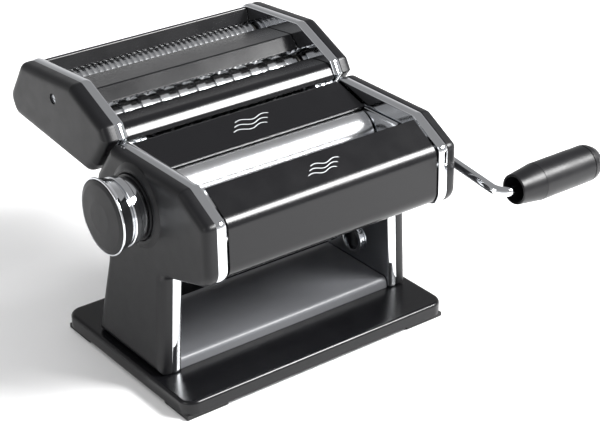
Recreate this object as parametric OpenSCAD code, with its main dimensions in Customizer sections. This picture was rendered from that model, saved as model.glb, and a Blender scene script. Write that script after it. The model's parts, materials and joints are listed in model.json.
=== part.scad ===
// Hand-cranked pasta roller machine with a slide-on cutter head.
// Frame: +X runs along the rollers towards the crank, -Y is the front, +Z is up.
// The origin is the middle of the base, on the table.

/* [Body] */
// Clear width between the two side frames
inner_w = 148; // [120:1:190]
// Height of the roller axes above the base plate
roller_h = 99; // [84:1:125]
// Depth of the base plate, front to back
base_d = 130; // [105:1:170]
// Thickness of the base plate
base_t = 8.5; // [5:0.5:12]
// Wall of the pressed base plate, which is open below
base_wall = 1.6; // [1.2:0.1:2.5]
// Height of the rubber feet
foot_h = 3; // [2:0.5:6]
// How far the base plate stands out past each side cover
base_margin = 7; // [3:1:15]
// Front face of the legs
leg_front_y = -33.6; // [-38:0.2:-28]
// Rear foot of the legs
leg_rear_y = 35.4; // [30:0.2:42]
// Sheet thickness of the side frames
frame_t = 1.2; // [0.8:0.1:2]
// Width of the side frames' outer flange
flange_w = 6.3; // [4:0.1:9]
// Depth of each side cover outside the flange
cover_h = 7.7; // [6:0.1:11]
// Wall of the side covers
cover_wall = 1.8; // [1.2:0.1:2.5]
// Rounding of the covers' outer edge
cover_round = 4.5; // [2:0.5:6]
// Sheet thickness of the panels
panel_t = 1.2; // [0.8:0.1:1.6]
// Gap between a panel's end and the side frame
panel_gap = 1.4; // [0.5:0.1:3]

/* [Rollers] */
// Radius of the smooth rollers
roller_r = 15; // [12.5:0.5:18]
// Widest gap between the smooth rollers
gap_max = 4.8; // [3.5:0.1:6]
// Narrowest gap between the smooth rollers
gap_min = 0.6; // [0.4:0.1:1]
// Axis of the thickness knob, front to back
knob_y = -10.5; // [-14:0.5:-8]
// How far the line through the roller axes rises to the rear, in degrees
nip_tilt = 7.3; // [0:0.1:12]
// Radius of the rear roller's hollow journals
journal_r = 9; // [8:0.5:10]
// Radius of the front roller's shaft
shaft_r = 6; // [5:0.5:7]
// Radius of the thickness shaft inside the rear roller
adjuster_r = 3.5; // [3:0.25:4]
// Radius of the two cams on the thickness shaft
cam_r = 6; // [5:0.25:7]
// Teeth of each roller gear
gear_teeth = 11; // [10:1:14]
// Radial clearance of a running fit
fit = 0.05; // [0.02:0.01:0.09]
// Number of thickness settings on the knob
settings = 10; // [6:1:10]

/* [Knob] */
// Radius of the knob's rim
knob_rim_r = 22.3; // [18:0.1:27]
// Distance from the side cover to the knob's rim
knob_out = 21.3; // [19:0.1:26]
// Travel of the knob when it is pulled out to turn
knob_pull = 3; // [2:0.5:3.5]

/* [Crank] */
// Radius of the crank rod
rod_r = 3; // [2.5:0.1:3.6]
// Distance from the side cover to the crank arm's axis
crank_out = 9; // [8:0.5:14]
// Length of the crank arm, axis to axis
crank_arm = 62.35; // [50:0.1:90]
// How far the arm hangs below level, in degrees
crank_droop = 7.1; // [0:0.1:30]
// Length of the handle grip
grip_l = 66; // [55:1:90]
// Largest radius of the handle grip
grip_r = 11.3; // [10:0.1:14]

/* [Cutter head] */
// Outer radius of the cutter discs
cutter_r = 10; // [9:0.1:11]
// How far the discs of a pair reach into each other
cutter_bite = 1; // [0.6:0.1:1.4]
// Width of a wide noodle
wide_cut = 6.5; // [5:0.1:9]
// Width of a fine noodle
fine_cut = 2; // [1.3:0.1:3]
// Sideways clearance of a disc in its groove
disc_play = 0.2; // [0.15:0.01:0.25]
// Gap between the cutter head and the body that it slides on
dock_gap = 1.2; // [0.8:0.1:2]

/* [Clamp] */
// Radius of the table clamp's hole
clamp_r = 7.5; // [6:0.1:8]
// Height of the clamp's hole above the base plate
clamp_h = 22.5; // [18:0.5:30]

/* [Hidden] */

// ---- heights and places that follow from the driving sizes ----
base_top = foot_h + base_t;
roller_z = base_top + roller_h;
frame_x = inner_w / 2;
flange_x = frame_x + flange_w;
cover_x = flange_x + cover_h;
base_w = 2 * (cover_x + base_margin);
panel_x = frame_x - panel_gap;

throw = (gap_max - gap_min) / 2;
// The rest position is the widest gap
rear_y = knob_y + throw * cos(nip_tilt);
rear_z = roller_z + throw * sin(nip_tilt);
nip_reach = throw + 2 * roller_r + gap_min;
front_y = knob_y - nip_reach * cos(nip_tilt);
front_z = roller_z - nip_reach * sin(nip_tilt);
roller_x = frame_x - 2.6;

gear_pitch_r = roller_r + gap_min / 2;
gear_module = 2 * gear_pitch_r / gear_teeth;
gear_tip_r = gear_pitch_r + 0.95 * gear_module;
gear_root_r = gear_pitch_r - 1.1 * gear_module;
pressure_angle = 25;

// Stack of parts outside each side frame: carrier plate, gear, cam plate
air = 0.4;
carrier_x0 = frame_x + frame_t + air;
carrier_plate = 2.5;
gear_x0 = carrier_x0 + carrier_plate + air;
gear_w = 4;
cam_x0 = gear_x0 + gear_w + air;
cam_w = 2.4;
carrier_x1 = cam_x0 + cam_w;
carrier_half = journal_r + 3;
carrier_wall_y = gear_tip_r + 0.9;
carrier_wall = 2.4;

// ---- outlines: each corner is [y, z, radius], anticlockwise seen from +X ----
head_front_y = front_y - roller_r - 20.6;
head_top_z = roller_z + roller_r + 11.1;
dock_top = [15.6, head_top_z - 0.2];
dock_low = [32.5, head_top_z - 22.7];
body_corners = [
  [leg_front_y, base_top, 1.5],
  [leg_rear_y, base_top, 1.5],
  [24, roller_z - 44.5, 22],
  [dock_low[0], dock_low[1], 7],
  [dock_top[0], dock_top[1], 3],
  [head_front_y + 25.3, head_top_z, 4],
  [head_front_y + 1, head_top_z - 13.3, 5],
  [head_front_y, roller_z - 23, 11],
  [leg_front_y, roller_z - 36, 4]];

cut_y = dock_top[0];
cut_z = dock_top[1];
cutter_frame_x = frame_x - 0.6;
cutter_flange_x = cutter_frame_x + flange_w - 0.2;
cutter_cover_x = cover_x;
cutter_centres = 2 * cutter_r - cutter_bite;
wide_y = cut_y + 23.2;
wide_z = cut_z - 6.8;
fine_y = wide_y + cutter_centres + 26;
fine_z = wide_z + 6.2;
cutter_corners = [
  [cut_y + 15.4 + 0.28 * dock_gap, cut_z - 18.9, 4],
  [cut_y + 24, cut_z - 25.7, 9],
  [cut_y + 107.4, cut_z - 18, 8],
  [cut_y + 113.9, cut_z - 6.5, 9],
  [cut_y + 97.4, cut_z + 19, 7],
  [cut_y + 39.6, cut_z + 23.5, 6],
  [cut_y + 6.5, cut_z + 9, 4],
  [cut_y + 0.4 + dock_gap, cut_z + 0.9, 1.5]];

// ---- two-dimensional helpers ----
arc_steps = 6;

function unit(v) = v / norm(v);
function xy(p) = [p[0], p[1]];

// One rounded corner: the arc of radius r that touches both sides at b
function corner(a, b, c, r) =
  let (u = unit(a - b), v = unit(c - b), half = acos(u * v) / 2,
       mid = b + unit(u + v) * r / sin(half),
       p = b + u * r / tan(half) - mid, q = b + v * r / tan(half) - mid,
       a0 = atan2(p[1], p[0]), da = atan2(q[1], q[0]) - a0,
       turn = da > 180 ? da - 360 : da < -180 ? da + 360 : da)
  r <= 0 ? [b] : [for (i = [0:arc_steps]) let (t = a0 + turn * i / arc_steps) mid + r * [cos(t), sin(t)]];

function around(list, i) = list[(i + len(list)) % len(list)];
function rounded(pts) = [for (i = [0:len(pts) - 1])
  each corner(xy(around(pts, i - 1)), xy(pts[i]), xy(around(pts, i + 1)), pts[i][2])];

// The same outline d further in; outer corners get tighter and inner corners wider
function left_normal(a, b) = let (u = unit(xy(b) - xy(a))) [-u[1], u[0]];
function inset(pts, d) = [for (i = [0:len(pts) - 1])
  let (m = left_normal(around(pts, i - 1), pts[i]), n = left_normal(pts[i], around(pts, i + 1)),
       p = xy(pts[i]) + d * (m + n) / (1 + m * n), outer = m[0] * n[1] - m[1] * n[0] > 0)
  [p[0], p[1], outer ? max(pts[i][2] - d, 0.3) : pts[i][2] + d]];

// A bent sheet of thickness t on the left of a path of [y, z, radius] corners
function shifted(path, d) = [for (i = [0:len(path) - 1])
  let (last = len(path) - 1,
       m = left_normal(path[max(i - 1, 0)], path[max(i, 1)]),
       n = left_normal(path[min(i, last - 1)], path[min(i + 1, last)]),
       p = xy(path[i]) + d * (m + n) / (1 + m * n), outer = m[0] * n[1] - m[1] * n[0] > 0)
  [p[0], p[1], path[i][2] <= 0 ? 0 : outer ? max(path[i][2] - d, 0.3) : path[i][2] + d]];
function sheet(path, t) = let (other = shifted(path, t), last = len(path) - 1)
  rounded(concat(path, [for (i = [last:-1:0]) other[i]]));

// Involute gear outline
function inv(a) = tan(a) - a * PI / 180;
function tooth_half(r, pitch_r, teeth, play) = let (rb = pitch_r * cos(pressure_angle))
  90 / teeth - play * 45 / (PI * pitch_r) + (inv(pressure_angle) - (r > rb ? inv(acos(rb / r)) : 0)) * 180 / PI;
function gear_outline(teeth, pitch_r, root_r, tip_r, play, phase) =
  let (rb = pitch_r * cos(pressure_angle),
       radii = concat([root_r], [for (k = [0:4]) max(rb, root_r) + (tip_r - max(rb, root_r)) * k / 4]))
  [for (i = [0:teeth - 1], side = [-1, 1], k = [0:5])
    let (r = side < 0 ? radii[k] : radii[5 - k],
         a = phase + 360 * i / teeth + side * tooth_half(r, pitch_r, teeth, play))
    r * [cos(a), sin(a)]];

// ---- three-dimensional helpers ----
module along_x(x0, x1, pts) {
  translate([x0, 0, 0]) rotate([90, 0, 90]) linear_extrude(height = x1 - x0) polygon(pts);
}
module disc(x0, x1, y, z, r, fn = 64) {
  translate([x0, y, z]) rotate([0, 90, 0]) cylinder(h = x1 - x0, r = r, $fn = fn);
}
// Turns a profile of [x, radius] points about the X axis
module turned(y, z, profile, fn = 72) {
  translate([0, y, z]) rotate([0, 90, 0]) rotate_extrude($fn = fn)
    polygon([for (p = profile) [p[1], p[0]]]);
}
module block(x0, x1, y0, y1, z0, z1) {
  translate([x0, y0, z0]) cube([x1 - x0, y1 - y0, z1 - z0]);
}
module each_side() {
  children();
  mirror([1, 0, 0]) children();
}
module if_left(left) {
  if (left) mirror([1, 0, 0]) children();
  else children();
}
// Outline layers joined into one shell: the rounded rim of a moulded cover.
// hub is a point that sees the whole outline; both flat ends fan out from it.
module rounded_tray(corners, x0, x1, r, hub) {
  layers = [[x0, 0], [x1 - r, 0], [x1 - 0.62 * r, 0.08 * r], [x1 - 0.29 * r, 0.29 * r],
            [x1 - 0.08 * r, 0.62 * r], [x1, r]];
  rings = [for (l = layers) [for (p = rounded(inset(corners, l[1]))) [l[0], p[0], p[1]]]];
  n = len(rings[0]);
  last = (len(layers) - 1) * n;
  points = concat([for (ring = rings) each ring], [[x0, hub[0], hub[1]], [x1, hub[0], hub[1]]]);
  sides = [for (k = [0:len(layers) - 2], i = [0:n - 1], half = [0, 1])
    let (a = k * n + i, b = k * n + (i + 1) % n)
    half == 0 ? [a, a + n, b] : [b, a + n, b + n]];
  caps = [for (i = [0:n - 1]) let (j = (i + 1) % n)
    each [[last + n, i, j], [last + n + 1, last + j, last + i]]];
  polyhedron(points, concat(sides, caps));
}

// ---- base ----
base_corner_r = 9;
function plate_outline(half_x, half_y, r) =
  rounded([[-half_x, -half_y, r], [half_x, -half_y, r], [half_x, half_y, r], [-half_x, half_y, r]]);
module base_plate() {
  color("#1c1c1e") difference() {
    translate([0, 0, foot_h]) linear_extrude(height = base_t)
      polygon(plate_outline(base_w / 2, base_d / 2, base_corner_r));
    translate([0, 0, foot_h - 1]) linear_extrude(height = base_t - base_wall + 1)
      polygon(plate_outline(base_w / 2 - base_wall, base_d / 2 - base_wall, base_corner_r - base_wall));
    for (p = base_screw_places)
      translate([p[0], p[1], base_top - base_wall - 1]) cylinder(h = base_wall + 2, r = 1.8, $fn = 32);
  }
}
foot_x = base_w / 2 - 16.5;
foot_y = base_d / 2 - 13.5;
module rubber_feet() {
  color("#101011") for (sx = [-1, 1], sy = [-1, 1])
    translate([sx * foot_x, sy * foot_y, 0]) linear_extrude(height = foot_h + base_t - base_wall)
      polygon(plate_outline(14, 10.5, 5));
}
base_screw_x = frame_x + frame_t + 2.6;
base_screw_places = [for (sx = [-1, 1], y = [leg_front_y + 12, leg_rear_y - 12]) [sx * base_screw_x, y]];
module base_screws() {
  color("silver") for (p = base_screw_places) translate([p[0], p[1], 0]) {
    translate([0, 0, base_top - base_wall - 2.2]) cylinder(h = 2.2, r = 3.4, $fn = 32);
    translate([0, 0, base_top - base_wall]) cylinder(h = base_wall + frame_t + 2, r = 1.5, $fn = 32);
    translate([0, 0, base_top + frame_t + 0.2]) cylinder(h = 2, r = 2.4, $fn = 6);
  }
}

// ---- side frames and covers ----
// Frame of the thickness drive: X along the rollers, Y along the line through the roller axes
module at_knob() {
  translate([0, knob_y, roller_z]) rotate([nip_tilt, 0, 0]) children();
}
module journal_slot(x0, x1, r) {
  at_knob() hull() for (y = [-throw, throw]) disc(x0, x1, y, 0, r, 32);
}
rod_places = [[head_front_y + 13, roller_z + 4], [22, roller_z - 4], [5, roller_z - 47]];
module side_frame(left) {
  color("#d8dadd") if_left(left) difference() {
    along_x(frame_x, flange_x, rounded(body_corners));
    along_x(frame_x + frame_t, flange_x + 1, rounded(inset(body_corners, frame_t)));
    disc(frame_x - 1, frame_x + 3, front_y, front_z, bush_r);
    journal_slot(frame_x - 1, frame_x + 3, journal_r + 0.6);
    if (!left) disc(frame_x - 1, frame_x + 3, 0, base_top + clamp_h, clamp_r + 1.5);
    for (p = rod_places) disc(frame_x - 1, frame_x + 3, p[0], p[1], 2.1, 32);
    for (y = [leg_front_y + 12, leg_rear_y - 12])
      translate([base_screw_x, y, base_top - 1]) cylinder(h = 4, r = 1.8, $fn = 32);
  }
}
module left_side_frame() { side_frame(true); }
module right_side_frame() { side_frame(false); }

boss_r = 21;
module side_cover(left) {
  color("#232325") if_left(left) difference() {
    union() {
      rounded_tray(inset(body_corners, 0.4), flange_x, cover_x, cover_round, [0, roller_z - 30]);
      if (left) disc(cover_x - 1, cover_x + 1.6, knob_y, roller_z, boss_r);
    }
    along_x(flange_x - 1, cover_x - cover_wall, rounded(inset(body_corners, 0.4 + cover_wall)));
    if (left) {
      disc(cover_x - 4, cover_x + 3, knob_y, roller_z, adjuster_r + 1);
      disc(cover_x - 0.8, cover_x + 3, knob_y, roller_z, boss_r - 2);
    }
    else disc(cover_x - 4, cover_x + 3, front_y, front_z, shaft_r + 0.6);
  }
}
module left_side_cover() { side_cover(true); }
module right_side_cover() { side_cover(false); }

// ---- panels between the frames ----
module front_panel() {
  color("#1d1d1f") intersection() {
    difference() {
      along_x(-panel_x, panel_x, rounded(inset(body_corners, 1)));
      along_x(-frame_x, frame_x, rounded(inset(body_corners, 1 + panel_t)));
    }
    union() {
      block(-frame_x, frame_x, head_front_y - 5, head_front_y + 22.8, roller_z - 10, head_top_z + 5);
      block(-frame_x, frame_x, head_front_y - 5, head_front_y + 15, roller_z - 40, roller_z);
    }
  }
}
hopper_z = roller_z + roller_r + 2;
tray_z = base_top + 7;
module rear_panel() {
  color("#1b1b1d") along_x(-panel_x, panel_x, sheet([
    [rear_y - 3, hopper_z, 0],
    [dock_top[0] - 0.6, dock_top[1] - 1.3, 2.5],
    [dock_low[0] - 1.58, dock_low[1], 6],
    [23, roller_z - 44.5, 20],
    [26, tray_z + 1.4, 0]], -panel_t));
}
module floor_tray() {
  color("#1e1e20") along_x(-frame_x + 0.4, frame_x - 0.4, sheet([
    [leg_front_y + 2, base_top, 0],
    [leg_front_y + 2, tray_z, 1.6],
    [29, tray_z, 1.6],
    [29, base_top, 0]], -panel_t));
}
module clamp_ring() {
  color("#d5d7da") turned(0, base_top + clamp_h, [
    [frame_x - 1.2, clamp_r], [frame_x - 1.2, clamp_r + 2], [frame_x - 0.8, clamp_r + 2.5],
    [frame_x, clamp_r + 2.5], [frame_x, clamp_r + 1.5], [flange_x + cover_h - 2.6, clamp_r + 1.5],
    [flange_x + cover_h - 2.6, clamp_r]]);
}
guide_top = roller_z + roller_r + 1.6;
module side_guides() {
  nip = (front_y + rear_y) / 2;
  y0 = front_y + 1;
  y1 = rear_y - 3.4;
  color("#9a9da1") each_side() difference() {
    along_x(roller_x + 0.5, roller_x + 1.7, [
      [y0, guide_top], [y0, roller_z + 6], [nip - 3, roller_z - 6],
      [nip + 2, roller_z - 6], [y1, roller_z + 9], [y1, guide_top]]);
    journal_slot(roller_x, roller_x + 2, journal_r + 0.8);
  }
}
module tie_rods() {
  color("#a9abae") for (p = rod_places) disc(-frame_x, frame_x, p[0], p[1], 4, 48);
}
module tie_rod_screws() {
  color("silver") each_side() for (p = rod_places) {
    disc(frame_x + 0.02, frame_x + frame_t, p[0], p[1], 2, 32);
    disc(frame_x + frame_t, frame_x + frame_t + 2.2, p[0], p[1], 3.6, 32);
  }
}
module scraper(place, dir) {
  reach = roller_r + 0.4;
  a = dir > 0 ? -60 : -120;
  color("#2a2a2c") along_x(-frame_x, frame_x, [for (p = [[0, -1.2], [9, -2.2], [9, 2.2], [0, 0.4]])
    place + [(reach + p[0]) * cos(a) - p[1] * sin(a), (reach + p[0]) * sin(a) + p[1] * cos(a)]]);
}
module front_scraper() { scraper([front_y, front_z], -1); }
module rear_scraper() { scraper([rear_y, rear_z], 1); }

// ---- front roller and its drive ----
bush_r = shaft_r + 3;
module roller_bushes() {
  color("#c9b98a") each_side() turned(front_y, front_z, [
    [frame_x - 0.8, shaft_r + fit], [frame_x - 0.8, bush_r + 2], [frame_x, bush_r + 2],
    [frame_x, bush_r], [gear_x0 - air, bush_r], [gear_x0 - air, shaft_r + fit]]);
}
socket_r = rod_r + fit;
socket_l = 15;
socket_x = cover_x + 0.6;
slot_w = 2.4;
slot_l = 4;
module front_roller() {
  color("#cfd1d4") difference() {
    turned(front_y, front_z, [
      [-carrier_x1, 0], [-carrier_x1, shaft_r], [-roller_x, shaft_r], [-roller_x, roller_r - 0.4],
      [-roller_x + 0.4, roller_r], [roller_x - 0.4, roller_r], [roller_x, roller_r - 0.4],
      [roller_x, shaft_r], [socket_x, shaft_r], [socket_x, 0]]);
    disc(socket_x - socket_l, socket_x + 1, front_y, front_z, socket_r);
    translate([socket_x - slot_l, front_y, front_z]) rotate([crank_droop, 0, 0])
      block(0, slot_l + 1, -shaft_r - 1, shaft_r + 1, -slot_w / 2, slot_w / 2);
  }
}
module roller_gear(y, z, bore) {
  color("#e4e2da") difference() {
    translate([0, y, z]) along_x(gear_x0, gear_x0 + gear_w,
      gear_outline(gear_teeth, gear_pitch_r, gear_root_r, gear_tip_r, 0.35, nip_tilt));
    disc(gear_x0 - 1, gear_x0 + gear_w + 1, y, z, bore);
  }
}
module front_gear() { roller_gear(front_y, front_z, shaft_r); }

// ---- crank: everything in the plane of the arm ----
crank_x = cover_x + crank_out;
elbow_r = 8;
grip_x = crank_x + 9.4;
rod_end_x = grip_x + grip_l - 12;
module in_crank_plane() {
  translate([0, front_y, front_z]) rotate([crank_droop, 0, 0]) children();
}
module elbow(x, y, a0) {
  translate([x, y, 0]) rotate([0, 0, a0]) rotate_extrude(angle = 90, $fn = 48)
    translate([elbow_r, 0]) circle(r = rod_r, $fn = 32);
}
module crank_rod() {
  color("#d3d5d8") in_crank_plane() {
    disc(socket_x - socket_l + 0.6, crank_x - elbow_r, 0, 0, rod_r, 32);
    elbow(crank_x - elbow_r, -elbow_r, 0);
    translate([crank_x, -crank_arm + elbow_r, 0]) rotate([-90, 0, 0])
      cylinder(h = crank_arm - 2 * elbow_r, r = rod_r, $fn = 32);
    elbow(crank_x + elbow_r, -crank_arm + elbow_r, 180);
    difference() {
      disc(crank_x + elbow_r, rod_end_x, -crank_arm, 0, rod_r, 32);
      disc(rod_end_x - 3, rod_end_x - 2, -crank_arm, 0, rod_r + 1, 32);
    }
    disc(rod_end_x - 3.5, rod_end_x - 1.5, -crank_arm, 0, rod_r - 0.6, 32);
    disc(rod_end_x - 3, rod_end_x - 2, -crank_arm, 0, rod_r + 1.8, 32);
  }
}
module crank_pin() {
  color("silver") in_crank_plane() translate([socket_x - slot_l / 2, 0, 0]) difference() {
    rotate([90, 0, 0]) cylinder(h = 2 * shaft_r - 0.8, r = 1, center = true, $fn = 32);
    disc(-3, 3, 0, 0, rod_r, 32);
  }
}
grip_step = 17;
grip_chamfer = 9;
module handle_grip() {
  x1 = grip_x + grip_l - grip_chamfer;
  color("#262628") in_crank_plane() turned(-crank_arm, 0, [
    [grip_x + 3, rod_r + fit], [grip_x + 3, 7], [grip_x, 7.6], [grip_x, 8.9],
    [grip_x + grip_step, grip_r], [x1, grip_r], [x1, 6.5], [rod_end_x - 4, 6.5],
    [rod_end_x - 4, rod_r + fit]]);
}
module handle_cap() {
  x1 = grip_x + grip_l - grip_chamfer;
  color("#262628") in_crank_plane() turned(-crank_arm, 0, [
    [x1 + 0.02, 0], [x1 + 0.02, grip_r - 0.1], [x1 + 3.5, grip_r - 0.5], [x1 + 7.5, grip_r - 2.3],
    [x1 + grip_chamfer, grip_r - 4.6], [x1 + grip_chamfer, 0]]);
}

// ---- rear roller on its sliding carriers ----
module rear_roller() {
  color("#cfd1d4") turned(rear_y, rear_z, [
    [-gear_x0 + air, adjuster_r + throw + 0.6], [-gear_x0 + air, journal_r], [-roller_x, journal_r],
    [-roller_x, roller_r - 0.4], [-roller_x + 0.4, roller_r], [roller_x - 0.4, roller_r],
    [roller_x, roller_r - 0.4], [roller_x, journal_r], [gear_x0 + gear_w, journal_r],
    [gear_x0 + gear_w, adjuster_r + throw + 0.6]]);
}
module rear_gear() { roller_gear(rear_y, rear_z, journal_r); }
cam_play = 0.5;
// A C-shaped bracket: the inner plate carries the journal, the outer plate has the cam's window
module carrier(left) {
  color("#8f9296") if_left(left) at_knob() translate([0, throw, 0]) difference() {
    union() {
      for (x = [[carrier_x0, carrier_x0 + carrier_plate], [cam_x0, carrier_x1]])
        block(x[0], x[1], -carrier_half, carrier_wall_y + carrier_wall, -carrier_half, carrier_half);
      block(carrier_x0 + 1, carrier_x1 - 1, carrier_wall_y, carrier_wall_y + carrier_wall,
        -carrier_half, carrier_half);
    }
    disc(carrier_x0 - 1, gear_x0, 0, 0, journal_r + fit);
    block(cam_x0 - 0.1, carrier_x1 + 1, -cam_r - cam_play, cam_r + cam_play,
      -cam_r - throw - 0.6, cam_r + throw + 0.6);
  }
}
module left_carrier() { carrier(true); }
module right_carrier() { carrier(false); }
// Two short rails on each side frame, above and below the inner plate
module carrier_guides() {
  color("#77797c") each_side() at_knob() for (z = [carrier_half + 0.3, -carrier_half - 2])
    block(frame_x + frame_t, gear_x0 - air, throw - carrier_half - gap_max, throw + carrier_half, z, z + 1.7);
}

// ---- thickness shaft, cams and knob ----
spindle_flat = 5;
spindle_x = cover_x + knob_out - 5;
module adjuster_shaft() {
  color("#b9bbbe") translate([0, knob_y, roller_z]) {
    disc(-cover_x - 2, carrier_x1, 0, 0, adjuster_r, 48);
    translate([-spindle_x, 0, 0]) rotate([0, 90, 0])
      cylinder(h = spindle_x - cover_x - 1, r = spindle_flat / 2 / cos(30), $fn = 6);
  }
}
module adjuster_cams() {
  color("#a3a5a8") each_side() difference() {
    disc(cam_x0 + 0.1, carrier_x1 - 0.1, rear_y, rear_z, cam_r);
    disc(cam_x0 - 1, carrier_x1 + 1, knob_y, roller_z, adjuster_r);
  }
}
module knob_screw() {
  color("silver") turned(knob_y, roller_z, [
    [-spindle_x, 0], [-spindle_x, 6.6], [-spindle_x - 1, 6.6], [-spindle_x - 2.2, 4.5],
    [-spindle_x - 2.2, 0]]);
}
// Distances from the side cover out to the edges of the knob's turned steps
knob_foot = 3.4;
knob_ring_0 = 8;
knob_ring_1 = 12.4;
knob_drum_0 = 13.4;
well_r = 8.2;
well_x = cover_x + knob_ring_0 + 1;
module knob_drum() {
  color("#d9dbde") difference() {
    turned(knob_y, roller_z, [
      [-cover_x - knob_foot, 0], [-cover_x - knob_foot, knob_rim_r - 4.6],
      [-cover_x - knob_ring_0, knob_rim_r - 4.2], [-cover_x - knob_ring_0, knob_rim_r - 2.6],
      [-cover_x - knob_ring_1, knob_rim_r - 2.4], [-cover_x - knob_ring_1, knob_rim_r - 4],
      [-cover_x - knob_drum_0, knob_rim_r - 4], [-cover_x - knob_drum_0, knob_rim_r - 2.7],
      [-cover_x - knob_out + 0.8, knob_rim_r], [-cover_x - knob_out, knob_rim_r - 0.4],
      [-cover_x - knob_out, 0]]);
    disc(-cover_x - knob_out - 1, -well_x, knob_y, roller_z, well_r);
    translate([-well_x - 1, knob_y, roller_z]) rotate([0, 90, 0])
      cylinder(h = 12, r = (spindle_flat / 2 + 0.1) / cos(30), $fn = 6);
    disc(-cover_x - knob_out - 1, -cover_x - knob_out + 1.2, knob_y, roller_z, knob_rim_r - 1.4);
    disc(-cover_x - knob_foot - 3, -cover_x - knob_foot + 1, knob_y, roller_z + index_ring_r, 1.2, 32);
  }
}
module knob_cap() {
  r = knob_rim_r - 1.4;
  x = cover_x + knob_out;
  color("#1f1f21") turned(knob_y, roller_z, [
    [-x + 1.2, 0], [-x + 1.2, r], [-x, r], [-x - 0.7, r - 1.2], [-x - 1.5, r - 5],
    [-x - 2.1, r - 11], [-x - 2.3, 0]]);
}
index_ring_r = 14.5;
index_pin_end = cover_x + 1.9;
module index_pin() {
  color("silver") disc(-cover_x - knob_foot - 3, -index_pin_end, knob_y, roller_z + index_ring_r, 1.2, 32);
}
// A plate with a running groove for the pin and one deeper dimple for each setting
module index_plate() {
  color("#3a3a3d") difference() {
    disc(-cover_x - 2.6, -cover_x + 0.8, knob_y, roller_z, boss_r - 2.1);
    disc(-cover_x - 4, -cover_x + 2, knob_y, roller_z, adjuster_r + 1.2);
    difference() {
      disc(-cover_x - 3, -cover_x - 1.4, knob_y, roller_z, index_ring_r + 1.7);
      disc(-cover_x - 4, -cover_x - 1, knob_y, roller_z, index_ring_r - 1.7);
    }
    for (i = [0:settings - 1]) translate([0, knob_y, roller_z]) rotate([i * 180 / (settings - 1), 0, 0])
      disc(-cover_x - 3, -cover_x - 0.4, 0, index_ring_r, 1.5, 24);
  }
}
spring_turns = 4;
module knob_spring() {
  x0 = well_x + 0.4;
  run = spindle_x - well_x - 1.2;
  wire = 0.45;
  coil_r = 6;
  steps = 18 * spring_turns;
  ring = [for (i = [0:steps], k = [0:5])
    let (a = 360 * spring_turns * i / steps, b = 60 * k, r = coil_r + wire * cos(b))
    [-x0 - run * i / steps + wire * sin(b), r * cos(a), r * sin(a)]];
  faces = [for (i = [0:steps - 1], k = [0:5], half = [0, 1])
    let (a = 6 * i + k, b = 6 * i + (k + 1) % 6)
    half == 0 ? [a, b, a + 6] : [b, b + 6, a + 6]];
  color("#8c8e91") translate([0, knob_y, roller_z])
    polyhedron(ring, concat(faces, [[5, 4, 3, 2, 1, 0], [for (k = [0:5]) 6 * steps + k]]));
}

// ---- dock: rails on the body and channels on the cutter head ----
dock_angle = atan2(dock_low[0] - dock_top[0], dock_top[1] - dock_low[1]);
dock_len = 19;
rail_x = frame_x - 8;
// Local frame on the dock slope: X along the rollers, Y out of the slope, Z up the slope
module on_dock() {
  translate([0, dock_low[0], dock_low[1]]) rotate([dock_angle, 0, 0]) children();
}
module dock_rails() {
  color("#c8cacd") each_side() on_dock() translate([rail_x, 0, 4]) {
    block(-1.5, 1.5, -1.2, 1.6, 0, dock_len);
    block(-3, 3, 1.6, 3.1, 0, dock_len);
  }
}
module dock_channels() {
  c = 0.35;
  color("#b4b6b9") each_side() on_dock() translate([rail_x, 0, 4.5]) difference() {
    block(-5.6, rail_channel_out, 0.3, 4.1, 0, dock_len - 0.5);
    block(-1.5 - c, 1.5 + c, -1, 2, -1, dock_len + 1);
    block(-3 - c, 3 + c, 1.6 - c, 3.1 + c, -1, dock_len + 1);
  }
}
rail_channel_out = cutter_frame_x - rail_x;

// ---- cutter head ----
function pair_places() = [[wide_y, wide_z], [wide_y + cutter_centres, wide_z],
                          [fine_y, fine_z], [fine_y + cutter_centres, fine_z]];
cutter_shaft_r = 5;
cutter_bush_r = cutter_shaft_r + 2;
module cutter_frame(left) {
  color("#d8dadd") if_left(left) difference() {
    along_x(cutter_frame_x, cutter_flange_x, rounded(cutter_corners));
    along_x(cutter_frame_x + frame_t, cutter_flange_x + 1, rounded(inset(cutter_corners, frame_t)));
    for (p = pair_places()) disc(cutter_frame_x - 1, cutter_frame_x + 3, p[0], p[1], cutter_bush_r);
  }
}
module cutter_left_frame() { cutter_frame(true); }
module cutter_right_frame() { cutter_frame(false); }
screw_place = [cut_y + 59.3, cut_z + 8.4];
module cutter_cover(left) {
  color("#232325") if_left(left) {
    difference() {
      rounded_tray(inset(cutter_corners, 0.4), cutter_flange_x, cutter_cover_x, cover_round,
        [cut_y + 60, cut_z]);
      along_x(cutter_flange_x - 1, cutter_cover_x - cover_wall,
        rounded(inset(cutter_corners, 0.4 + cover_wall)));
      disc(cutter_cover_x - 2.2, cutter_cover_x + 1, screw_place[0], screw_place[1], 3.2, 40);
      if (!left) for (p = [pair_places()[1], pair_places()[3]])
        disc(cutter_cover_x - 4, cutter_cover_x + 3, p[0], p[1], cutter_shaft_r + 0.6);
    }
    difference() {
      disc(cutter_gear_x1 + 0.4, cutter_cover_x - cover_wall, screw_place[0], screw_place[1], 4.6, 40);
      disc(cutter_frame_x, cutter_cover_x + 1, screw_place[0], screw_place[1], 1.45, 32);
      disc(cutter_cover_x - 2.2, cutter_cover_x + 1, screw_place[0], screw_place[1], 3.2, 40);
    }
  }
}
module cutter_left_cover() { cutter_cover(true); }
module cutter_right_cover() { cutter_cover(false); }
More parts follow.
